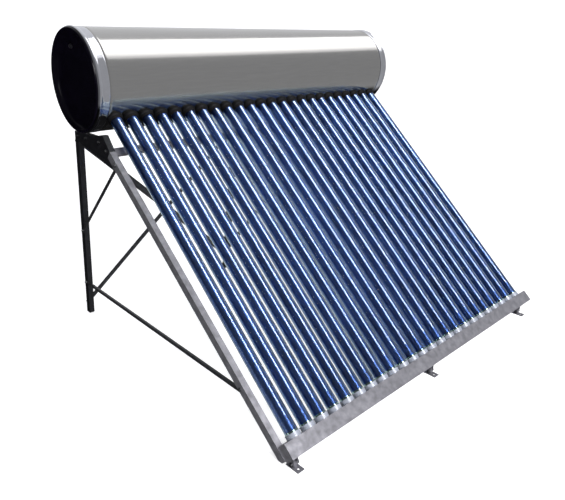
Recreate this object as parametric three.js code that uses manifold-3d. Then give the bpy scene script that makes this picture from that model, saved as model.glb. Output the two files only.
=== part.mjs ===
// Evacuated-tube solar water heater on a three-frame stand.
// Millimetres, +Z up, X along the tank, -Y towards the bottom bar. The origin is on the ground,
// under the middle of the heater. Every piece of the real heater is its own closed mesh.
import * as THREE from 'three';
import { mergeVertices } from 'three/addons/utils/BufferGeometryUtils.js';
import Module from 'manifold-3d';

const wasm = await Module();
wasm.setup();

// ---------------------------------------------------------------- driving dimensions
const TUBE_COUNT = 24;
const TUBE_PITCH = 80;
const TUBE_LENGTH = 1800;
const TUBE_RADIUS = 29;
const TUBE_BORE = 22;
const TUBE_TILT = THREE.MathUtils.degToRad(41.3);
const TUBE_TOP = 90;               // open end of a tube, measured from the tank's axis

const TANK_HEIGHT = 1282;          // tank axis above the ground
const SHELL_RADIUS = 230;
const SHELL_HALF = 957;            // half the length of the outer shell
const SHEET = 2;
const SHELL_HOLE = 33.5;           // radius of the shell's holes for the tubes
const INNER_HOLE = 31.5;           // radius of the inner tank's sockets
const GAP = 0.3;                   // between neighbouring pieces
const INNER_RADIUS = 178;
const FOAM_HALF = 978;
const INNER_HALF = 966;
const RING_RADIUS = 234;
const TANK_HALF = 1022;            // half the length over the end caps

const FRAME_HALF = 1001;           // outer faces of the side rails
const SECTION_DEPTH = 40;          // rail and leg section, web height
const SECTION_WIDTH = 28;          // rail and leg section, flange width
const STEEL = 3;
const SEAT_HEIGHT = 1047.5;        // top of the rails where the tank sits
const RAIL_BEND = -191;            // Y of the bend between the seat and the slope
const RAIL_TILT = THREE.MathUtils.degToRad(40);
const SADDLE_END = 76;             // how far the saddle runs down the slope from the bend
const SEAT_BACK = 90;              // rear end of the level seat
const HUMP = [[-105, 0], [-176, 15], [-198, 15], [-232, -28]];   // raised shoulder at the bend, over the seat
const RAIL_CLEARANCE = 5;          // the rails' lower ends stop this far above the ground

const LEG_FOOT = 227;              // Y of the rear legs' centre line at the ground
const LEG_LEAN = 0.1315;           // how much the legs lean forward for each unit of height
const LEG_TOP = 1043.8;
const LEG_DEPTH = 36;
const LEG_FACE = FRAME_HALF - 2 * STEEL - 2 * GAP;   // outer faces of the side legs, inside the gussets

const BAR_NEAR = 1832;             // bottom bar: distance of its tube plate from the tank's axis
const BAR_FAR = 1897;
const BAR_FACE = 36;               // bottom bar: its face above the plane of the tube axes
const BAR_SKIRT = -60;             // lower edge of the tube plate
const BAR_LIP = -7;                // lower edge of the front lip
const BAR_END = -40;               // lower edge of the folded ends, beside the rails
const BAR_HALF = FRAME_HALF - STEEL - GAP;
const BAR_HOLE = 33;               // radius of its holes for the cups
const CUP_TOP = 1788;              // upper edge of the cups, from the tank's axis

// Cross-bar under the rails' flanges, in the collector's frame.
const CROSSBAR = { near: -352, far: -392, high: -54, low: -68 };

const FOOT_PLACES = { left: -972, middle: -47, right: 874 };   // along the bottom bar
const FOOT_FRONT = -1469;
const FOOT_BACK = -1402;
const FOOT_AXIS = { y: -1430, z: 15 };
const FOOT_WIDTH = 36;

const ROUND = 36;                  // facets round the tank
const FACETS = 12;                 // facets round a tube

// ---------------------------------------------------------------- materials
function paint(color, roughness, metalness) {
  return new THREE.MeshStandardMaterial({ color, roughness, metalness });
}

const MATERIALS = {
  shell: paint(0xa9a8a6, 0.22, 1),
  chrome: paint(0xc9c9cf, 0.12, 1),
  blackCap: paint(0x0c0c12, 0.18, 0),
  glass: paint(0x22327e, 0.08, 0.1),
  steel: paint(0x6c6a74, 0.4, 0.8),
  darkSteel: paint(0x2a2a2e, 0.45, 0.7),
  rubber: paint(0x111114, 0.8, 0),
  cup: paint(0xb9c2cc, 0.4, 0),
  foam: paint(0xe6dcae, 0.9, 0),
  inner: paint(0xb8bcc0, 0.35, 1),
  brass: paint(0xb08d4a, 0.35, 1),
};

// ---------------------------------------------------------------- geometry helpers
// A position-only, welded, outward-facing copy of a closed geometry.
function weld(geometry) {
  const bare = geometry.clone();
  bare.deleteAttribute('normal');
  bare.deleteAttribute('uv');
  const merged = mergeVertices(bare, 1e-4);
  const place = merged.attributes.position;
  const index = merged.index.array;
  const kept = [];
  let volume = 0;
  const [a, b, c] = [new THREE.Vector3(), new THREE.Vector3(), new THREE.Vector3()];
  for (let i = 0; i < index.length; i += 3) {
    const [p, q, r] = [index[i], index[i + 1], index[i + 2]];
    if (p === q || q === r || r === p) continue;
    a.fromBufferAttribute(place, p);
    b.fromBufferAttribute(place, q);
    c.fromBufferAttribute(place, r);
    volume += a.dot(b.cross(c));
    kept.push(p, q, r);
  }
  if (volume < 0) kept.reverse();
  merged.setIndex(kept);
  return merged;
}

function toSolid(geometry) {
  const welded = weld(geometry);
  return new wasm.Manifold(new wasm.Mesh({
    numProp: 3,
    vertProperties: new Float32Array(welded.attributes.position.array),
    triVerts: new Uint32Array(welded.index.array),
  }));
}

function toGeometry(solid) {
  const mesh = solid.getMesh();
  const geometry = new THREE.BufferGeometry();
  geometry.setAttribute('position', new THREE.BufferAttribute(new Float32Array(mesh.vertProperties), 3));
  geometry.setIndex(new THREE.BufferAttribute(new Uint32Array(mesh.triVerts), 1));
  return geometry;
}

function joined(...geometries) {
  return toGeometry(geometries.map(toSolid).reduce((whole, piece) => whole.add(piece)));
}

function cut(geometry, ...tools) {
  return toGeometry(tools.map(toSolid).reduce((whole, tool) => whole.subtract(tool), toSolid(geometry)));
}

// A profile turned round the local Y axis; it closes on itself or on the axis.
function turned(profile, facets) {
  return new THREE.LatheGeometry(profile.map(([r, v]) => new THREE.Vector2(r, v)), facets);
}

function box(x0, x1, y0, y1, z0, z1) {
  const geometry = new THREE.BoxGeometry(x1 - x0, y1 - y0, z1 - z0);
  return geometry.translate((x0 + x1) / 2, (y0 + y1) / 2, (z0 + z1) / 2);
}

// A plate cut to an outline in the Y-Z plane, between two values of X.
function plate(outline, x0, x1) {
  const shape = new THREE.Shape(outline.map(([y, z]) => new THREE.Vector2(y, z)));
  const geometry = new THREE.ExtrudeGeometry(shape, { depth: Math.abs(x1 - x0), bevelEnabled: false });
  const turn = new THREE.Matrix4().makeBasis(
    new THREE.Vector3(0, 1, 0), new THREE.Vector3(0, 0, 1), new THREE.Vector3(1, 0, 0));
  return geometry.applyMatrix4(turn).translate(Math.min(x0, x1), 0, 0);
}

// A folded strip between two points: a flat web with a flange along one edge.
// 'across' points over the web's width, 'out' is the side that the flange stands on.
function angleBar(from, to, across, out, width, flange) {
  const along = new THREE.Vector3().subVectors(to, from);
  const length = along.length();
  const axisX = along.normalize();
  const axisZ = out.clone().addScaledVector(axisX, -out.dot(axisX)).normalize();
  const axisY = new THREE.Vector3().crossVectors(axisZ, axisX);
  if (axisY.dot(across) < 0) axisY.negate();
  const right = new THREE.Vector3().crossVectors(axisX, axisY);
  const sign = Math.sign(right.dot(axisZ));
  const web = box(0, length, -width / 2, width / 2, ...span(0, sign * STEEL));
  const side = box(0, length, width / 2 - STEEL, width / 2, ...span(0, sign * flange));
  const place = new THREE.Matrix4().makeBasis(axisX, axisY, right).setPosition(from);
  return joined(web, side).applyMatrix4(place);
}

function span(a, b) {
  return [Math.min(a, b), Math.max(a, b)];
}

// ---------------------------------------------------------------- assembly
const heater = new THREE.Group();

// Local Y runs up along the tubes, local Z stands off the plane of the tubes, origin on the tank's axis.
const collector = new THREE.Group();
collector.position.z = TANK_HEIGHT;
collector.rotation.x = TUBE_TILT;
heater.add(collector);

// Local Y runs along the tank.
const tank = new THREE.Group();
tank.position.z = TANK_HEIGHT;
tank.rotation.z = -Math.PI / 2;
heater.add(tank);

function add(group, name, geometry, material) {
  const mesh = new THREE.Mesh(weld(geometry), material);
  mesh.name = name;
  group.add(mesh);
  return mesh;
}

const tubeX = (i) => (i - (TUBE_COUNT - 1) / 2) * TUBE_PITCH;
const tubes = [...Array(TUBE_COUNT).keys()];

// Cylinders along every tube's axis, to open the tank and the bar for the tubes.
function tubeDrills(radius, v0, v1) {
  return tubes.map((i) => turned([[0, v0], [radius, v0], [radius, v1], [0, v1]], FACETS)
    .translate(tubeX(i), 0, 0));
}

// A geometry in the collector's frame, expressed in the frame that turns round the tank's axis.
function collectorToTank(geometry) {
  return geometry.rotateX(TUBE_TILT).rotateZ(Math.PI / 2);
}

// ---------------------------------------------------------------- vacuum tubes
function makeTubes() {
  const tip = -(TUBE_TOP + TUBE_LENGTH);
  const profile = [
    [0, tip], [20.5, tip + 8.5], [TUBE_RADIUS, tip + 29],
    [TUBE_RADIUS, -TUBE_TOP], [TUBE_BORE, -TUBE_TOP], [TUBE_BORE, tip + 36], [0, tip + 36],
  ];
  for (const i of tubes) {
    const name = `vacuum_tube_${String(i + 1).padStart(2, '0')}`;
    const tube = add(collector, name, turned(profile, FACETS), MATERIALS.glass);
    tube.position.x = tubeX(i);
  }
}

// ---------------------------------------------------------------- tank
function makeTank() {
  const bore = SHELL_RADIUS - SHEET;
  const shell = turned([
    [SHELL_RADIUS, -SHELL_HALF], [SHELL_RADIUS, SHELL_HALF], [bore, SHELL_HALF], [bore, -SHELL_HALF],
    [SHELL_RADIUS, -SHELL_HALF],
  ], ROUND);
  const shellDrills = tubeDrills(SHELL_HOLE, -SHELL_RADIUS - 10, -SHELL_RADIUS + 20).map(collectorToTank);
  const ports = PORTS.map((port) => portDrill(port, port.radius + 1));
  add(tank, 'tank_shell', cut(shell, ...shellDrills, ...ports), MATERIALS.shell);

  const foamOut = bore - 0.6;
  const foamIn = INNER_RADIUS + 0.6;
  const foam = turned([
    [0, -FOAM_HALF], [foamOut - 4, -FOAM_HALF], [foamOut - 4, -SHELL_HALF + 2], [foamOut, -SHELL_HALF + 2],
    [foamOut, SHELL_HALF - 2], [foamOut - 4, SHELL_HALF - 2], [foamOut - 4, FOAM_HALF], [0, FOAM_HALF],
  ], ROUND);
  const hollow = turned([
    [0, -INNER_HALF - 0.6], [foamIn, -INNER_HALF - 0.6], [foamIn, INNER_HALF + 0.6], [0, INNER_HALF + 0.6],
  ], ROUND);
  const slotHalf = -tubeX(0) + 34;
  const slot = collectorToTank(box(-slotHalf, slotHalf, -foamOut - 10, -foamIn + 20, -34, 34));
  add(tank, 'insulation', cut(foam, hollow, slot, ...ports), MATERIALS.foam);

  const dish = 12;
  const inner = turned([
    [0, -INNER_HALF], [INNER_RADIUS - 30, -INNER_HALF], [INNER_RADIUS, -INNER_HALF + dish],
    [INNER_RADIUS, INNER_HALF - dish], [INNER_RADIUS - 30, INNER_HALF], [0, INNER_HALF],
  ], ROUND);
  const inside = turned([
    [0, -INNER_HALF + SHEET], [INNER_RADIUS - 31, -INNER_HALF + SHEET],
    [INNER_RADIUS - SHEET, -INNER_HALF + dish + 1], [INNER_RADIUS - SHEET, INNER_HALF - dish - 1],
    [INNER_RADIUS - 31, INNER_HALF - SHEET], [0, INNER_HALF - SHEET],
  ], ROUND);
  const innerDrills = tubeDrills(INNER_HOLE, -INNER_RADIUS - 10, -INNER_RADIUS + 22).map(collectorToTank);
  const innerPorts = PORTS.map((port) => portDrill(port, port.radius + GAP));
  add(tank, 'inner_tank', cut(inner, inside, ...innerDrills, ...innerPorts), MATERIALS.inner);
}

// Pipe stubs: where they leave the shell (angle round the tank from straight back, upwards) and where
// along it.
const PORTS = [
  { name: 'cold_inlet', x: 820, angle: -50, radius: 11, bore: 8, end: 268 },
  { name: 'hot_outlet', x: -820, angle: -50, radius: 11, bore: 8, end: 268 },
  { name: 'vent_pipe', x: 700, angle: 25, radius: 9, bore: 6, end: 262 },
];

// A geometry made round the local Y axis, stood radially on the tank.
function stand(geometry, port) {
  const turn = THREE.MathUtils.degToRad(port.angle);
  return geometry.rotateX(turn).translate(port.x, 0, 0).rotateZ(Math.PI / 2);
}

function portDrill(port, radius) {
  const [deep, clear] = [INNER_RADIUS - 20, 300];
  const drill = turned([[0, deep], [radius, deep], [radius, clear], [0, clear]], FACETS);
  return stand(drill, port);
}

function makePorts() {
  for (const port of PORTS) {
    const start = INNER_RADIUS - 8;
    const nut = port.radius + 5;
    const profile = [
      [port.bore, start], [port.radius, start], [port.radius, SHELL_RADIUS + 1],
      [nut, SHELL_RADIUS + 1], [nut, SHELL_RADIUS + 9], [port.radius, SHELL_RADIUS + 9],
      [port.radius, port.end], [port.bore, port.end], [port.bore, start],
    ];
    add(tank, port.name, stand(turned(profile, FACETS), port), MATERIALS.brass);
  }
}

function makeTankEnds() {
  // A bright band with two rolled beads closes the shell, and a dished black cap is pressed over it.
  const ring = [
    [SHELL_RADIUS - 4, SHELL_HALF + GAP], [SHELL_RADIUS, SHELL_HALF + GAP], [SHELL_RADIUS + 2, 964],
    [SHELL_RADIUS + 2, 996], [RING_RADIUS, 1002], [RING_RADIUS, 1009], [RING_RADIUS - 5, 1014],
    [SHELL_RADIUS - 5, 1014], [SHELL_RADIUS - 5, 1000], [SHELL_RADIUS - 4, SHELL_HALF + GAP],
  ];
  const cap = [
    [0, 984], [120, 986], [180, 992], [203, 1002], [209, 1014], [215, 1020], [222, TANK_HALF], [227, 1019],
    [227, 1014.3], [224.6, 1014.3], [222, 1010], [213, 1008], [208, 998], [183, 988], [120, 982], [0, 980],
  ];
  for (const [side, sign] of [['left', -1], ['right', 1]]) {
    const flip = (profile) => profile.map(([r, v]) => [r, v * sign]);
    add(tank, `end_ring_${side}`, turned(flip(ring), ROUND), MATERIALS.chrome);
    add(tank, `end_cap_${side}`, turned(flip(cap), ROUND), MATERIALS.blackCap);
  }
}

// ---------------------------------------------------------------- seals, cups, bottom bar
function makeSeals() {
  const lip = SHELL_RADIUS + 1;
  const ring = [[29.6, -lip], [36.8, -lip], [31, -lip - 16], [29.6, -lip]];
  const rings = tubes.map((i) => turned(ring, FACETS).translate(tubeX(i), 0, 0));
  const ties = tubes.slice(1).map((i) => {
    const middle = tubeX(i) - TUBE_PITCH / 2;
    return box(middle - 5, middle + 5, -lip - 2.5, -lip - 0.5, -3, 3);
  });
  add(collector, 'dust_seals', joined(...rings, ...ties), MATERIALS.rubber);
}

function makeCups() {
  const tip = -(TUBE_TOP + TUBE_LENGTH);
  const [outer, inner] = [32.5, 29.6];
  const cup = [[0, tip - 3.6], [outer - 6, tip - 3.6], [outer, tip + 8], [outer, -CUP_TOP],
    [inner, -CUP_TOP], [inner, tip + 20], [22, tip + 1], [0, tip - 0.6]];
  const cups = tubes.map((i) => turned(cup, FACETS).translate(tubeX(i), 0, 0));
  const ties = tubes.slice(1).map((i) => {
    const middle = tubeX(i) - TUBE_PITCH / 2;
    return box(middle - 9, middle + 9, -BAR_NEAR + 1, -BAR_NEAR + 4, -4, 4);
  });
  add(collector, 'tube_cups', joined(...cups, ...ties), MATERIALS.cup);
}

function makeBar() {
  const t = STEEL;
  const web = box(-BAR_HALF, BAR_HALF, -BAR_NEAR - t, -BAR_NEAR, BAR_SKIRT, BAR_FACE);
  const face = box(-BAR_HALF, BAR_HALF, -BAR_FAR, -BAR_NEAR, BAR_FACE - t, BAR_FACE);
  const lip = box(-BAR_HALF, BAR_HALF, -BAR_FAR - 0.1, -BAR_FAR + t, BAR_LIP, BAR_FACE);
  const endOutline = [[-BAR_NEAR, BAR_FACE], [-BAR_FAR, BAR_FACE], [-BAR_FAR, BAR_LIP],
    [-BAR_FAR + 18, BAR_END], [-BAR_NEAR, BAR_END]];
  const ends = [-1, 1].map((side) => plate(endOutline, side * BAR_HALF, side * (BAR_HALF - t)));
  const holes = tubeDrills(BAR_HOLE, -BAR_NEAR - 10, -BAR_NEAR + 10);
  const toCollector = new THREE.Matrix4().makeRotationX(-TUBE_TILT)
    .multiply(new THREE.Matrix4().makeTranslation(0, 0, -TANK_HEIGHT));
  const lugs = Object.values(FOOT_PLACES).flatMap((x) => footLugs(x))
    .map((lug) => lug.applyMatrix4(toCollector));
  const bar = cut(joined(web, face, lip, ...ends), ...holes);
  add(collector, 'bottom_bar', joined(bar, ...lugs), MATERIALS.steel);
}

// Two ears under the bar's lip, with the hole that a foot's pin turns in.
function footLugs(x) {
  const { y, z } = FOOT_AXIS;
  const outline = [[y + 9.5, z + 11], [y - 7.6, z + 30.6], [y - 9, z + 24], [y - 9, z - 3], [y - 5, z - 9],
    [y + 5, z - 9], [y + 9.5, z - 3]];
  const hole = turned([[0, -40], [4.9, -40], [4.9, 40], [0, 40]], FACETS).rotateZ(Math.PI / 2)
    .translate(x, y, z);
  return [-1, 1].map((side) => cut(plate(outline, x + side * 9, x + side * 12), hole));
}

// ---------------------------------------------------------------- feet
function makeFeet() {
  const { y, z } = FOOT_AXIS;
  for (const [side, x] of Object.entries(FOOT_PLACES)) {
    const half = FOOT_WIDTH / 2;
    const base = box(x - half, x + half, FOOT_FRONT, FOOT_BACK, 0, STEEL);
    const stem = plate([[y - 9, 1], [y - 7, z + 5], [y, z + 8], [y + 7, z + 5], [y + 9, 1]], x - 7, x + 7);
    const pin = turned([[0, -16], [4.3, -16], [4.3, 16], [0, 16]], FACETS).rotateZ(Math.PI / 2)
      .translate(x, y, z);
    const boltHole = turned([[0, -9], [5, -9], [5, 9], [0, 9]], FACETS).rotateX(Math.PI / 2)
      .translate(x, FOOT_FRONT + 16, 0);
    add(heater, `foot_${side}`, cut(joined(base, stem, pin), boltHole), MATERIALS.steel);
  }
}

// ---------------------------------------------------------------- stand
// A point on a rail's slope, a given run below the bend.
function onSlope(tilt, run) {
  return [RAIL_BEND - run * Math.cos(tilt), SEAT_HEIGHT - run * Math.sin(tilt)];
}

// The same line moved a distance to its right-hand side, square at the ends and mitred between.
function offsetLine(points, distance) {
  const normal = (p, q) => {
    const length = Math.hypot(q[0] - p[0], q[1] - p[1]);
    return [-(q[1] - p[1]) / length, (q[0] - p[0]) / length];
  };
  return points.map((point, k) => {
    const before = normal(points[Math.max(k - 1, 0)], points[Math.max(k, 1)]);
    const last = points.length - 1;
    const after = normal(points[Math.min(k, last - 1)], points[Math.min(k + 1, last)]);
    const scale = distance / (1 + before[0] * after[0] + before[1] * after[1]);
    return [point[0] + (before[0] + after[0]) * scale, point[1] + (before[1] + after[1]) * scale];
  });
}

// A folded section along an upper edge: a web with one flange, both cut off level near the ground.
function section(top, x, inward, flangeTop = top) {
  const web = plate([...top, ...offsetLine(top, SECTION_DEPTH).reverse()], x, x + inward * STEEL);
  const flangeLine = [...flangeTop, ...offsetLine(flangeTop, STEEL).reverse()];
  const flange = plate(flangeLine, x, x + inward * SECTION_WIDTH);
  const belowGround = box(-1100, 1100, -1600, 300, -100, RAIL_CLEARANCE);
  return cut(joined(web, flange), belowGround);
}

function makeRail(name, x, inward, tilt, flangeRun, webRun, ...notches) {
  const start = onSlope(tilt, SADDLE_END + GAP);
  const whole = section([start, onSlope(tilt, webRun)], x, inward, [start, onSlope(tilt, flangeRun)]);
  add(heater, name, cut(whole, ...notches), MATERIALS.steel);
}

function makeRails() {
  const bendV = RAIL_BEND * Math.cos(TUBE_TILT) + (SEAT_HEIGHT - TANK_HEIGHT) * Math.sin(TUBE_TILT);
  const toBar = (BAR_NEAR - 1.2 + bendV) / Math.cos(TUBE_TILT - RAIL_TILT);
  const past = toBar + BAR_FAR - BAR_NEAR - 6;
  makeRail('rail_left', -FRAME_HALF, 1, RAIL_TILT, toBar, past);
  makeRail('rail_right', FRAME_HALF, -1, RAIL_TILT, toBar, past);
  makeRail('rail_middle', -SECTION_WIDTH / 2, 1, TUBE_TILT, toBar - 1, toBar - 1, crossbarSlot());
}

// Room for the cross-bar to pass through the middle frame.
function crossbarSlot() {
  return box(-20, 20, CROSSBAR.far - 1, CROSSBAR.near + 1, CROSSBAR.low - 1, CROSSBAR.high + 0.5)
    .rotateX(TUBE_TILT).translate(0, 0, TANK_HEIGHT);
}

const legY = (z) => LEG_FOOT - LEG_LEAN * z;

function makeLeg(name, x, inward) {
  const half = LEG_DEPTH / 2;
  const slat = (y0, y1) => [[legY(0) + y0, 0], [legY(0) + y1, 0], [legY(LEG_TOP) + y1, LEG_TOP],
    [legY(LEG_TOP) + y0, LEG_TOP]];
  const web = plate(slat(-half, half), x, x + inward * STEEL);
  const front = plate(slat(-half, -half + STEEL), x, x + inward * SECTION_WIDTH);
  const back = plate(slat(half - STEEL, half), x, x + inward * SECTION_WIDTH);
  add(heater, name, joined(web, front, back), MATERIALS.darkSteel);
}

function makeLegs() {
  makeLeg('rear_leg_left', -LEG_FACE, 1);
  makeLeg('rear_leg_right', LEG_FACE, -1);
  makeLeg('rear_leg_middle', -SECTION_WIDTH / 2 + 2 * STEEL + GAP, 1);
}

// The tank's seat: a folded section with a raised shoulder, and a flat plate that ties the leg to the rail.
function makeSaddle(name, x, inward, tilt, ...notches) {
  const top = [[SEAT_BACK, SEAT_HEIGHT], ...HUMP.map(([y, rise]) => [y, SEAT_HEIGHT + rise]),
    onSlope(tilt, SADDLE_END)];
  const fold = [top[0], [RAIL_BEND, SEAT_HEIGHT], onSlope(tilt, SADDLE_END)];
  const web = plate([...top, ...offsetLine(fold, SECTION_DEPTH).reverse()], x, x + inward * STEEL);
  const flange = plate([...top, ...offsetLine(top, STEEL).reverse()], x, x + inward * SECTION_WIDTH);
  const outline = [[92, 1042], [104, 1002], [70, 998], [-252, 923], [-276, 952], [-232, 1006],
    [RAIL_BEND + 12, 1042]];
  const gusset = plate(outline, x + inward * STEEL, x + inward * 2 * STEEL);
  add(heater, name, cut(joined(web, flange, gusset), ...notches), MATERIALS.darkSteel);
}

function makeSaddles() {
  makeSaddle('saddle_left', -FRAME_HALF, 1, RAIL_TILT);
  makeSaddle('saddle_right', FRAME_HALF, -1, RAIL_TILT);
  makeSaddle('saddle_middle', -SECTION_WIDTH / 2, 1, TUBE_TILT, crossbarSlot());
}

function makeSideBraces() {
  const face = LEG_FACE + GAP + STEEL;
  for (const [side, sign] of [['left', -1], ['right', 1]]) {
    const x = sign * face;
    const inwards = new THREE.Vector3(-sign, 0, 0);
    const up = new THREE.Vector3(0, 0, 1);
    const reach = span(sign * (LEG_FACE + 0.1), sign * (LEG_FACE - 20));
    const strip = ([fromY, fromZ], [toY, toZ]) => angleBar(
      new THREE.Vector3(x, fromY, fromZ), new THREE.Vector3(x, toY, toZ), up, inwards, 17, 11);
    const upper = strip([162, 508], [-292, 936]);
    const lower = strip([210, 199], [-1160, 199]);
    const besideLeg = box(...reach, 130, 300, 0, 700);
    const besideUpperRail = box(...reach, -400, -222, 860, 1000);
    const besideLowerRail = box(...reach, -1300, -1120, 150, 250);
    add(heater, `side_brace_upper_${side}`, cut(upper, besideLeg, besideUpperRail), MATERIALS.darkSteel);
    add(heater, `side_brace_lower_${side}`, cut(lower, besideLeg, besideLowerRail), MATERIALS.darkSteel);
  }
}

// Two crossed diagonals behind the legs in each bay, back to back where they cross.
function makeRearBraces() {
  const lean = new THREE.Vector3(0, -LEG_LEAN, 1).normalize();
  const backwards = new THREE.Vector3(0, 1, LEG_LEAN).normalize();
  const plane = (x, z, behind) => new THREE.Vector3(x, legY(z) + LEG_DEPTH / 2, z)
    .addScaledVector(backwards, behind);
  const nearMiddle = 3;
  const atSide = LEG_FACE - 9;
  for (const [side, sign] of [['left', -1], ['right', 1]]) {
    const inner = sign * nearMiddle + (sign > 0 ? 14 : -9);
    const outer = sign * atSide;
    const front = STEEL + 0.6;
    const falling = angleBar(plane(outer, 1008, front), plane(inner, 122, front), lean,
      backwards.clone().negate(), 36, STEEL);
    const rising = angleBar(plane(outer, 52, front + GAP), plane(inner, 930, front + GAP), lean,
      backwards, 20, 10);
    add(heater, `rear_brace_falling_${side}`, falling, MATERIALS.darkSteel);
    add(heater, `rear_brace_rising_${side}`, rising, MATERIALS.darkSteel);
  }
}

// A shallow channel laid across the rails under the tubes' upper ends.
function makeCrossbar() {
  const { near, far, high, low } = CROSSBAR;
  const x = LEG_FACE - GAP;
  const top = box(-x, x, far, near, high - STEEL, high);
  const lips = [box(-x, x, far, far + STEEL, low, high), box(-x, x, near - STEEL, near, low, high)];
  add(collector, 'front_crossbar', joined(top, ...lips), MATERIALS.steel);
}

makeTubes();
makeTank();
makePorts();
makeTankEnds();
makeSeals();
makeCups();
makeBar();
makeFeet();
makeRails();
makeLegs();
makeSaddles();
makeSideBraces();
makeRearBraces();
makeCrossbar();

// The model is built about the tank's axis, then slid so that its footprint is centred.
const extent = new THREE.Box3().setFromObject(heater, true);
heater.position.y = -Math.round(5 * (extent.min.y + extent.max.y)) / 10;

export default heater;
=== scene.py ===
import math

import bmesh
import bpy
from mathutils import Matrix, Vector


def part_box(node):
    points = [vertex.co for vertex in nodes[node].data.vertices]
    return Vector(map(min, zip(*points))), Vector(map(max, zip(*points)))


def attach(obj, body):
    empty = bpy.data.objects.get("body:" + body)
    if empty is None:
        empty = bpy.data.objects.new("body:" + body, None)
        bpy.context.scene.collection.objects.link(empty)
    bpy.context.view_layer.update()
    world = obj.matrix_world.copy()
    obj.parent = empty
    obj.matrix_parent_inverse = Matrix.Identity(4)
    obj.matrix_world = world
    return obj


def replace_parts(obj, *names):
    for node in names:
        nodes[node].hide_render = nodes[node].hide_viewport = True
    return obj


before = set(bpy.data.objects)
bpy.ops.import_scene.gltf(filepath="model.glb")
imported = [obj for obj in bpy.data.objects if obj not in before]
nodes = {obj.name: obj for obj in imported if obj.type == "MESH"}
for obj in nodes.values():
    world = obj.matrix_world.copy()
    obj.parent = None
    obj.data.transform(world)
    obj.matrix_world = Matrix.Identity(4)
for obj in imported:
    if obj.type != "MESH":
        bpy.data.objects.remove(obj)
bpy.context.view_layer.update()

# ---------------------------------------------------------------- places, from the CAD model
low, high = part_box("tank_shell")
AXIS = Vector((0, (low.y + high.y) / 2, (low.z + high.z) / 2))
SHELL_R = (high.z - low.z) / 2
SHELL_HALF = high.x
TILT = math.radians(41.3)
DOWN = Vector((0, -math.cos(TILT), -math.sin(TILT)))      # along a tube, from the tank
OUT = Vector((0, -math.sin(TILT), math.cos(TILT)))        # off the plane of the tubes
OVERHEAD = Vector((0, 0, 1))
TUBES = [n for n in sorted(nodes) if n.startswith("vacuum_tube_")]
TUBE_X = [(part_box(n)[0].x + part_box(n)[1].x) / 2 for n in TUBES]
TUBE_TIP = 1.890                                          # from the tank's axis, along a tube
RAIL_FACE, LEG_FACE = 1.001, 0.9977                       # outer faces of the side frames
BODY = "heater"


def on_axis(x):
    return Vector((x, AXIS.y, AXIS.z))


# ---------------------------------------------------------------- mesh helpers
def make(name, verts, faces, material, slot, smooth=35, body=BODY):
    """A piece of the heater: a smooth-shaded mesh that rides a body and has a material slot; its 'slot'
    argument is not used.
    """
    mesh = bpy.data.meshes.new(name)
    mesh.from_pydata([tuple(v) for v in verts], [], faces)
    mesh.validate()
    mesh.update()
    work = bmesh.new()
    work.from_mesh(mesh)
    bmesh.ops.remove_doubles(work, verts=work.verts, dist=1e-6)
    bmesh.ops.recalc_face_normals(work, faces=work.faces)
    work.to_mesh(mesh)
    work.free()
    mesh.shade_smooth()
    mesh.set_sharp_from_angle(angle=math.radians(smooth))
    mesh.materials.append(material)
    piece = bpy.data.objects.new(name, mesh)
    bpy.context.scene.collection.objects.link(piece)
    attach(piece, body)
    return piece


def lathe(name, profile, place, material, slot, segments=48, **kw):
    """A profile of (radius, height) turned round the Z axis of the matrix 'place'."""
    verts, faces, rows = [], [], []
    for radius, height in profile:
        if radius < 1e-7:
            rows.append([len(verts)] * segments)
            verts.append(place @ Vector((0, 0, height)))
            continue
        rows.append(list(range(len(verts), len(verts) + segments)))
        for k in range(segments):
            turn = 2 * math.pi * k / segments
            verts.append(place @ Vector((radius * math.cos(turn), radius * math.sin(turn), height)))
    for low_row, high_row in zip(rows, rows[1:]):
        for k in range(segments):
            ring = [low_row[k], low_row[(k + 1) % segments], high_row[(k + 1) % segments], high_row[k]]
            face = list(dict.fromkeys(ring))
            if len(face) > 2:
                faces.append(face)
    return make(name, verts, faces, material, slot, **kw)


def rounded(points, radius=0.0015, steps=3):
    """The same open line of (radius, height) points with its inner corners rounded."""
    line = [points[0]]
    for before, corner, after in zip(points, points[1:], points[2:]):
        a, b, c = Vector(before), Vector(corner), Vector(after)
        reach = min(radius, (b - a).length * 0.45, (c - b).length * 0.45)
        start, end = b + (a - b).normalized() * reach, b + (c - b).normalized() * reach
        for k in range(steps + 1):
            t = k / steps
            p = start.lerp(b, t).lerp(b.lerp(end, t), t)
            line.append((p.x, p.y))
    return line + [points[-1]]


def dome(radius, centre, steps, counts):
    """Steps of a quarter circle, from the side of a domed tube end (0) to its crown (steps)."""
    turns = [k * math.pi / (2 * steps) for k in counts]
    return [(radius * math.cos(turn), centre + radius * math.sin(turn)) for turn in turns]


def frame_at(origin, axis, across=Vector((1, 0, 0))):
    """A matrix whose Z axis lies along 'axis'."""
    z = axis.normalized()
    x = (across - z * across.dot(z)).normalized()
    y = z.cross(x)
    return Matrix((
        (x.x, y.x, z.x, origin.x), (x.y, y.y, z.y, origin.y), (x.z, y.z, z.z, origin.z), (0, 0, 0, 1)))


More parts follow.
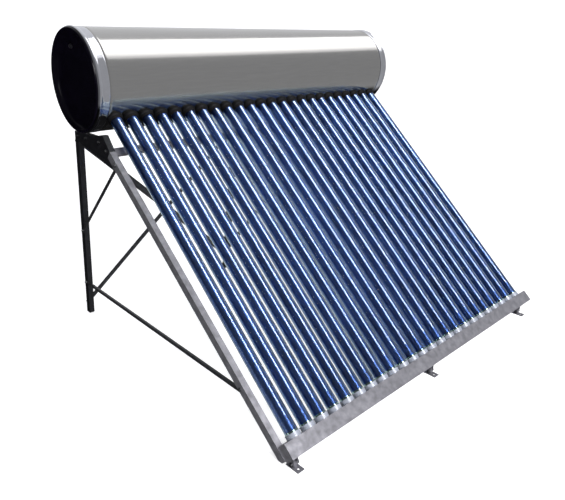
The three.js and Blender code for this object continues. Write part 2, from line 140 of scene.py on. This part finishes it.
# ---------------------------------------------------------------- materials
def material(name, color, rough, metal=0.0, grain=40.0, stretch=(1, 1, 1), vary=0.15, bump=0.0,
             rough_vary=0.1, **sockets):
    """A Principled material whose colour, roughness and bump come from procedural noise."""
    mat = bpy.data.materials.new(name)
    mat.use_nodes = True
    tree = mat.node_tree
    shader = tree.nodes["Principled BSDF"]
    shader.inputs["Metallic"].default_value = metal
    for key, value in sockets.items():
        shader.inputs[key.replace("_", " ")].default_value = value
    coords = tree.nodes.new("ShaderNodeTexCoord")
    mapping = tree.nodes.new("ShaderNodeMapping")
    mapping.inputs["Scale"].default_value = stretch
    noise = tree.nodes.new("ShaderNodeTexNoise")
    noise.inputs["Scale"].default_value = grain
    noise.inputs["Detail"].default_value = 5
    ramp = tree.nodes.new("ShaderNodeValToRGB")
    dark = [c * (1 - vary) for c in color]
    light = [min(1, c * (1 + vary)) for c in color]
    ramp.color_ramp.elements[0].position = 0.3
    ramp.color_ramp.elements[0].color = (*dark, 1)
    ramp.color_ramp.elements[1].position = 0.7
    ramp.color_ramp.elements[1].color = (*light, 1)
    spread = tree.nodes.new("ShaderNodeMapRange")
    spread.inputs["To Min"].default_value = max(0, rough * (1 - rough_vary))
    spread.inputs["To Max"].default_value = min(1, rough * (1 + rough_vary))
    link = tree.links.new
    link(coords.outputs["Object"], mapping.inputs["Vector"])
    link(mapping.outputs["Vector"], noise.inputs["Vector"])
    link(noise.outputs["Fac"], ramp.inputs["Fac"])
    link(ramp.outputs["Color"], shader.inputs["Base Color"])
    link(noise.outputs["Fac"], spread.inputs["Value"])
    link(spread.outputs["Result"], shader.inputs["Roughness"])
    if bump:
        relief = tree.nodes.new("ShaderNodeBump")
        relief.inputs["Strength"].default_value = bump
        relief.inputs["Distance"].default_value = 0.001
        link(noise.outputs["Fac"], relief.inputs["Height"])
        link(relief.outputs["Normal"], shader.inputs["Normal"])
    return mat


M = {
    "shell": material("tank_stainless", (0.46, 0.45, 0.44), 0.15, metal=1.0, grain=60,
                      stretch=(0.15, 6, 6), vary=0.04, bump=0.02, rough_vary=0.2),
    "chrome": material("ring_chrome", (0.62, 0.62, 0.66), 0.10, metal=1.0, grain=25, vary=0.05,
                       rough_vary=0.3),
    "cap": material("cap_gloss_black", (0.002, 0.0015, 0.004), 0.16, grain=30, vary=0.3,
                    rough_vary=0.3, Specular_IOR_Level=0.12),
    "glass": material("borosilicate_glass", (0.66, 0.76, 0.75), 0.015, grain=20, vary=0.01,
                      Transmission_Weight=1.0, IOR=1.42),
    "coating": material("absorber_coating", (0.050, 0.104, 0.40), 0.32, metal=0.9, grain=9,
                        stretch=(1, 0.5, 0.5), vary=0.18, rough_vary=0.2,
                        Coat_Weight=0.8, Coat_Roughness=0.19),
    "getter": material("getter_mirror", (0.55, 0.58, 0.60), 0.08, metal=1.0, grain=60, vary=0.2,
                       rough_vary=0.5),
    "rubber": material("seal_rubber", (0.003, 0.003, 0.004), 0.6, grain=250, vary=0.3, bump=0.15,
                       Specular_IOR_Level=0.2),
    "cup": material("cup_plastic", (0.30, 0.32, 0.38), 0.35, metal=0.1, grain=120, vary=0.25, bump=0.05),
    "steel": material("galvanised_steel", (0.29, 0.285, 0.315), 0.32, metal=0.7, grain=35, vary=0.22,
                      bump=0.05, rough_vary=0.25),
    # near-black material for the saddles under the tank, the rear legs and the sensor grommet
    "dark": material("near_black", (0.012, 0.012, 0.015), 0.38, metal=0.3, grain=45, vary=0.35,
                     bump=0.08),
    "brace": material("brace_steel", (0.05, 0.05, 0.055), 0.40, metal=0.6, grain=60, vary=0.35, bump=0.08),
    "bolt": material("bolt_zinc", (0.20, 0.20, 0.21), 0.30, metal=1.0, grain=200, vary=0.2, bump=0.05),
    "brass": material("port_brass", (0.62, 0.45, 0.20), 0.25, metal=1.0, grain=80, vary=0.12, bump=0.04),
    "foam": material("pu_foam", (0.80, 0.72, 0.45), 0.85, grain=300, vary=0.12, bump=0.5),
    "inner": material("inner_stainless", (0.58, 0.58, 0.58), 0.28, metal=1.0, grain=90,
                      stretch=(0.2, 5, 5), vary=0.06, bump=0.03),
    "floor": material("studio_floor", (0.88, 0.88, 0.89), 0.6, grain=2, vary=0.01,
                      Emission_Color=(1, 1, 1, 1), Emission_Strength=0.65),
}


def dress(node, mat, bevel=0.0008):
    """A carried-over CAD node: its own mesh, with a finished material and softened edges."""
    piece = nodes[node]
    piece.data.materials.clear()
    piece.data.materials.append(mat)
    if bevel:
        piece.data.shade_smooth()
        piece.data.set_sharp_from_angle(angle=math.radians(30))
        edge = piece.modifiers.new("edges", "BEVEL")
        edge.width = bevel
        edge.segments = 2
        edge.limit_method = "ANGLE"
        edge.angle_limit = math.radians(30)
        edge.harden_normals = True


for node in nodes:
    if node.startswith(("rail_", "foot_")) or node in ("bottom_bar", "front_crossbar"):
        dress(node, M["steel"], 0.0014)
    # the rear legs and the saddles under the tank are made near-black
    elif node.startswith(("rear_leg_", "saddle_")):
        dress(node, M["dark"])
    elif node.startswith(("side_brace_", "rear_brace_")):
        dress(node, M["brace"])
dress("insulation", M["foam"], 0)
dress("inner_tank", M["inner"], 0)


# ---------------------------------------------------------------- camera
def make_camera():
    """A camera at the left front, a little above the tank, looking down across the tubes."""
    yaw, pitch, roll = 0.7552, -0.4096, 0.0175            # radians, yaw from +Y towards +X
    forward = Vector((math.sin(yaw) * math.cos(pitch), math.cos(yaw) * math.cos(pitch), math.sin(pitch)))
    right = Vector((math.cos(yaw), -math.sin(yaw), 0))
    up = right.cross(forward)
    right, up = math.cos(roll) * right + math.sin(roll) * up, math.cos(roll) * up - math.sin(roll) * right
    place = Vector((-2.1421, AXIS.y - 2.5407, 1.520))
    data = bpy.data.cameras.new("camera")
    data.sensor_width = 36
    data.lens = 35.0952
    data.shift_x, data.shift_y = 0.015752, 0.029558
    data.clip_end = 100
    camera = bpy.data.objects.new("camera", data)
    camera.matrix_world = Matrix((
        (right.x, up.x, -forward.x, place.x), (right.y, up.y, -forward.y, place.y),
        (right.z, up.z, -forward.z, place.z), (0, 0, 0, 1)))
    bpy.context.scene.collection.objects.link(camera)
    bpy.context.scene.camera = camera


# ---------------------------------------------------------------- tubes, seals and cups
def make_tubes():
    """Each tube: a clear outer glass, a blue coated inner tube and a silvery getter end."""
    top = 0.090
    outer, wall = 0.029, 0.0016
    core, core_wall = 0.0272, 0.002
    core_end = TUBE_TIP - 0.010
    split = core_end - 0.075                              # the coating stops and the getter starts
    centre = TUBE_TIP - outer
    for name, x in zip(TUBES, TUBE_X):
        place = frame_at(on_axis(x), DOWN)
        outside = dome(outer, centre, 10, range(10)) + [(0.004, TUBE_TIP - 0.0004), (0, TUBE_TIP)]
        inside = dome(outer - wall, centre, 10, range(10, -1, -1))
        line = [(outer - wall, top), (outer, top)] + outside + inside + [(outer - wall, top)]
        glass = lathe(f"{name}_glass", line, place, M["glass"], "glass", 40)
        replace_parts(glass, name)
        line = [(core - core_wall, top), (core, top), (core, split), (core - core_wall, split),
                (core - core_wall, top)]
        lathe(f"{name}_absorber", line, place, M["coating"], "glass", 40)
        line = [(0, split), (core, split)] + dome(core, core_end - core, 8, range(9))
        lathe(f"{name}_getter", line, place, M["getter"], "glass", 40)


def make_seals():
    """Rubber rings round the tubes, each with a foot that follows the round tank."""
    lip, foot_depth = 0.250, 0.02                         # the lower edge, and how much of the seal bends
    for number, x in enumerate(TUBE_X, 1):
        line = rounded([(0.0296, 0.243), (0.0296, lip), (0.0325, 0.2505), (0.0335, 0.244), (0.0325, 0.240),
                        (0.0355, 0.238), (0.0372, 0.2335), (0.0372, 0.229), (0.031, 0.229), (0.0296, 0.243)],
                       0.001, 2)
        seal = lathe(f"dust_seal_{number:02d}", line, frame_at(on_axis(x), DOWN), M["rubber"], "rubber", 40)
        for vertex in seal.data.vertices:
            offset = vertex.co - on_axis(x)
            side = offset.dot(OUT)
            drop = SHELL_R - math.sqrt(SHELL_R ** 2 - side ** 2)
            height = offset.dot(DOWN)
            vertex.co -= DOWN * drop * max(0, min(1, (lip - height) / foot_depth))
        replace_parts(seal, "dust_seals")


def make_cups():
    """Ribbed plastic cups over the tubes' lower ends."""
    rim, bore, skirt = 1.812, 0.0297, 0.0318
    for number, x in enumerate(TUBE_X, 1):
        ribs = [(0.0316, rim), (0.0330, rim + 0.0005), (0.0330, rim + 0.004), (skirt, rim + 0.005),
                (skirt, rim + 0.010), (0.0324, rim + 0.0105), (0.0324, rim + 0.013),
                (skirt, rim + 0.0135), (skirt, TUBE_TIP - 0.008)]
        base = [(0.0265, TUBE_TIP + 0.0034), (0, TUBE_TIP + 0.0034), (0, TUBE_TIP + 0.0006),
                (0.022, TUBE_TIP - 0.001), (bore, TUBE_TIP - 0.02)]
        line = [(bore, rim)] + ribs + base + [(bore, rim)]
        cup = lathe(f"tube_cup_{number:02d}", line, frame_at(on_axis(x), DOWN), M["cup"], "cup", 36)
        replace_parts(cup, "tube_cups")


# ---------------------------------------------------------------- tank
# section lines as (radius, distance from the tank's middle)
RING = [(0.226, 0.9573), (0.2295, 0.9573), (0.2312, 0.9590), (0.2322, 0.9640), (0.2318, 0.9690),
        (0.2318, 0.9930), (0.2330, 0.9970), (0.2342, 1.0005), (0.2342, 1.0060), (0.2325, 1.0100),
        (0.2280, 1.0140), (0.2250, 1.0140), (0.2250, 1.0000), (0.226, 0.9573)]
CAP = [(0, 0.9840), (0.090, 0.9848), (0.140, 0.9870), (0.178, 0.9915), (0.195, 0.9970), (0.202, 1.0040),
       (0.2055, 1.0100), (0.2100, 1.0128), (0.2140, 1.0170), (0.2175, 1.0205), (0.2215, 1.0220),
       (0.2255, 1.0210), (0.2280, 1.0180), (0.2280, 1.0144), (0.2246, 1.0143), (0.222, 1.010),
       (0.213, 1.008), (0.208, 0.998), (0.183, 0.988), (0.120, 0.982), (0, 0.980)]


def make_tank():
    """The sheet shell with a bead near each end, the rolled rings, the dished caps and a grommet."""
    tank = frame_at(AXIS, Vector((1, 0, 0)), Vector((0, 0, 1)))
    r, half = SHELL_R, SHELL_HALF
    beads = []
    for side in (-1, 1):
        edge = side * (half - 0.004)
        beads.append([(r, edge - side * 0.012), (r + 0.0006, edge - side * 0.009),
                      (r + 0.0006, edge - side * 0.004), (r, edge - side * 0.001),
                      (r - 0.0012, edge + side * 0.004)])
    line = [(r - 0.002, -half)] + beads[0][::-1] + beads[1] + [(r - 0.002, half), (r - 0.002, -half)]
    shell = lathe("tank_skin", line, tank, M["shell"], "shell", 160, smooth=50)
    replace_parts(shell, "tank_shell")
    for side, sign in (("left", -1), ("right", 1)):
        piece = lathe(f"rolled_ring_{side}", [(a, sign * b) for a, b in rounded(RING, 0.002, 3)], tank,
                      M["chrome"], "chrome", 160, smooth=60)
        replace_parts(piece, f"end_ring_{side}")
        piece = lathe(f"black_cap_{side}", [(a, sign * b) for a, b in CAP], tank, M["cap"], "black_cap", 160,
                      smooth=70)
        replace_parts(piece, f"end_cap_{side}")
    # a small grommet for the sensor, in the upper part of the left cap
    spot = Vector((-0.9895, AXIS.y + 0.043, AXIS.z + 0.147))
    line = rounded([(0, 0.012), (0.005, 0.012), (0.006, 0.008), (0.010, 0.0065), (0.011, 0.001),
                    (0.011, -0.002), (0, -0.002)], 0.001, 2)
    lathe("sensor_grommet", line, frame_at(spot, Vector((-1, 0, 0)), Vector((0, 1, 0))), M["dark"], "cup", 24)


def make_ports():
    """Threaded pipe stubs at the back of the tank, each with a collar and a rubber grommet."""
    inner_end = 0.17
    pitch, crest = 0.0018, 0.0008
    for name, angle, x, radius, bore, end in (("cold_inlet", -50, 0.820, 0.011, 0.008, 0.268),
                                              ("hot_outlet", -50, -0.820, 0.011, 0.008, 0.268),
                                              ("vent_pipe", 25, 0.700, 0.009, 0.006, 0.262)):
        turn = math.radians(angle)
        place = frame_at(on_axis(x), Vector((0, math.cos(turn), math.sin(turn))))
        start = SHELL_R + 0.001
        line = [(bore, inner_end), (radius, inner_end), (radius, start), (radius + 0.0048, start),
                (radius + 0.0048, start + 0.0075), (radius + 0.0035, start + 0.009),
                (radius - 0.0004, start + 0.009)]
        height = start + 0.010
        while height < end - 0.003:
            line += [(radius - crest, height), (radius, height + pitch / 2)]
            height += pitch
        line += [(radius - crest, end), (bore, end), (bore, inner_end)]
        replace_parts(lathe(f"{name}_stub", line, place, M["brass"], "brass", 36, smooth=40), name)
        line = rounded([(radius + 0.0005, SHELL_R - 0.001), (radius + 0.012, SHELL_R - 0.001),
                        (radius + 0.011, SHELL_R + 0.0025), (radius + 0.0005, SHELL_R + 0.004),
                        (radius + 0.0005, SHELL_R - 0.001)], 0.001, 2)
        lathe(f"{name}_grommet", line, place, M["rubber"], "rubber", 36)


# ---------------------------------------------------------------- bolts
def bolt(name, place, axis, size=0.0065, body=BODY):
    """A hex head on a washer, standing on the surface at 'place'."""
    base = frame_at(place, axis, Vector((0.3, 0.5, 0.8)))
    line = rounded([(0, 0), (size * 1.45, 0), (size * 1.45, 0.0014), (size * 0.5, 0.0016), (0, 0.0016)],
                   0.0004, 2)
    lathe(f"{name}_washer", line, base, M["bolt"], "steel", 24, body=body)
    verts, faces = [], []
    rings = [(size, 0.0015), (size, 0.0058), (size * 0.86, 0.0068), (size * 0.5, 0.0069)]
    for radius, height in rings:
        for k in range(6):
            turn = math.pi * k / 3
            verts.append(base @ Vector((radius * math.cos(turn), radius * math.sin(turn), height)))
    for row in range(len(rings) - 1):
        for k in range(6):
            a, b = row * 6 + k, row * 6 + (k + 1) % 6
            faces.append((a, b, b + 6, a + 6))
    faces.append(tuple(range(18, 24)))
    faces.append(tuple(range(5, -1, -1)))
    make(f"{name}_head", verts, faces, M["bolt"], "steel", smooth=20, body=body)


def make_bolts():
    """Bolts on the outside of both side frames, and one at each end of each foot's pin."""
    # (distance behind the tank's axis, height above the ground)
    on_rail = ((0.060, 1.026), (-0.020, 1.026), (-0.150, 1.026), (-0.212, 0.996), (-0.284, 0.944),
               (-1.146, 0.208))
    on_leg = ((0.154, 0.516), (0.201, 0.199))
    pin_y, pin_z, pin_half = AXIS.y - 1.430, 0.015, 0.016
    number = 0
    for side in (-1, 1):
        for kind, face, spots in (("rail", RAIL_FACE, on_rail), ("leg", LEG_FACE, on_leg)):
            for dy, z in spots:
                number += 1
                bolt(f"{kind}_bolt_{number:02d}", Vector((side * face, AXIS.y + dy, z)), Vector((side, 0, 0)))
    for name in ("left", "middle", "right"):
        low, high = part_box(f"foot_{name}")
        x = (low.x + high.x) / 2
        for side, end in ((-1, "a"), (1, "b")):
            bolt(f"pin_bolt_{name}_{end}", Vector((x + side * pin_half, pin_y, pin_z)), Vector((side, 0, 0)),
                 0.0062, f"foot_{name}")


# ---------------------------------------------------------------- studio
def make_floor():
    """A white sweep: flat under the heater, then curved up behind it."""
    near, far, bend, top, half_width = -9, 7, 3, 9, 14
    ahead, side = Vector((0.685, 0.728, 0)), Vector((0.728, -0.685, 0))
    turns = [k * math.pi / 24 for k in range(1, 13)]
    curve = [(far + bend * math.sin(t), bend - bend * math.cos(t)) for t in turns]
    line = [(near, 0), (far, 0)] + curve + [(far + bend, top)]
    verts, faces = [], []
    for along, height in line:
        for across in (-half_width, half_width):
            verts.append(ahead * along + side * across + Vector((0, 0, height - 0.0005)))
    for k in range(len(line) - 1):
        faces.append((2 * k, 2 * k + 1, 2 * k + 3, 2 * k + 2))
    mesh = bpy.data.meshes.new("studio")
    mesh.from_pydata(verts, [], faces)
    mesh.shade_smooth()
    mesh.materials.append(M["floor"])
    floor = bpy.data.objects.new("studio", mesh)
    bpy.context.scene.collection.objects.link(floor)
    floor.visible_glossy = False        # the polished parts mirror the air of the room, not the floor


def softbox(name, place, target, width, height, power, lit):
    """A soft panel that lights only the objects in 'lit', as a flagged lamp in a studio does."""
    data = bpy.data.lights.new(name, "AREA")
    data.shape = "RECTANGLE"
    data.size, data.size_y = width, height
    data.energy = power
    light = bpy.data.objects.new(name, data)
    light.location = place
    light.rotation_euler = (Vector(target) - Vector(place)).to_track_quat("-Z", "Y").to_euler()
    bpy.context.scene.collection.objects.link(light)
    receivers = bpy.data.collections.new(f"{name}_receivers")
    for piece in lit:
        receivers.objects.link(piece)
    light.light_linking.receiver_collection = receivers


def make_lights():
    """Panels one above another, each larger than the last, give a highlight with a soft edge."""
    everything = [o for o in bpy.context.scene.objects if o.type == "MESH"]
    on_tank = [o for o in everything if o.name.startswith(("tank_skin", "rolled_ring_"))]
    on_tubes = [o for o in everything if o.name.endswith(("_glass", "_absorber", "_getter"))]
    others = [o for o in everything if o not in on_tank and o not in on_tubes]
    height, gap = 3.7, 0.05
    edge = AXIS + Vector((4.2, 0.75, height))             # the tank's panels share this rear edge
    for number, depth in enumerate((2.4, 3.1, 3.8), 1):
        place = edge + Vector((0, -depth / 2, gap * number))
        softbox(f"tank_strip_{number}", place, place - OVERHEAD, 8.0, depth, 22 * depth, on_tank)
    over_tubes = AXIS + Vector((0.45, -3.3, height))
    for number, (width, power) in enumerate(((1.7, 420), (3.0, 90)), 1):
        place = over_tubes + OVERHEAD * gap * number
        softbox(f"tube_strip_{number}", place, place - OVERHEAD, width, 5.8, power, on_tubes)
    softbox("key", (-0.5, -4.8, 4.2), (0, 0, 0.6), 3.0, 2.2, 420, others)
    softbox("fill", (-4.5, -2.5, 3.0), (0, 0, 0.8), 2.5, 2.5, 40, others)


def make_world():
    """The air of the room: its strength is a product of smooth steps over the direction."""
    world = bpy.data.worlds.new("studio_air")
    world.use_nodes = True
    tree = world.node_tree
    back = tree.nodes["Background"]
    link = tree.links.new
    coords = tree.nodes.new("ShaderNodeTexCoord")
    split = tree.nodes.new("ShaderNodeSeparateXYZ")
    link(coords.outputs["Generated"], split.inputs["Vector"])

    def step(output, start, end, dark, light):
        span = tree.nodes.new("ShaderNodeMapRange")
        span.interpolation_type = "SMOOTHSTEP"
        for socket, value in zip(("From Min", "From Max", "To Min", "To Max"), (start, end, dark, light)):
            span.inputs[socket].default_value = value
        link(output, span.inputs["Value"])
        return span.outputs["Result"]

    def times(first, second):
        product = tree.nodes.new("ShaderNodeMath")
        product.operation = "MULTIPLY"
        link(first, product.inputs[0])
        link(second, product.inputs[1])
        return product.outputs["Value"]

    def along(direction):
        slope = tree.nodes.new("ShaderNodeVectorMath")
        slope.operation = "DOT_PRODUCT"
        slope.inputs[1].default_value = direction
        link(coords.outputs["Generated"], slope.inputs[0])
        return slope.outputs["Value"]

    # dark below, and behind the heater on the left, where the black cap faces
    front_to_back = step(split.outputs["Y"], -0.7, 0.6, 0.42, 0.85)
    floor_to_sky = step(along((0, -0.35, 1)), -0.60, -0.42, 0.015, 1.0)
    left_to_right = step(split.outputs["X"], -0.8, 0.3, 0.3, 1.0)
    behind_left = step(along((1, -1, 0)), -1.1, -0.8, 0.015, 1.0)
    strength = times(times(front_to_back, floor_to_sky), times(left_to_right, behind_left))
    link(strength, back.inputs["Strength"])
    back.inputs["Color"].default_value = (0.95, 0.97, 1, 1)
    bpy.context.scene.world = world
    bpy.context.scene.view_settings.view_transform = "Standard"


make_camera()
make_tank()
make_tubes()
make_seals()
make_cups()
make_ports()
make_bolts()
make_floor()
make_lights()
make_world()

bpy.context.view_layer.update()
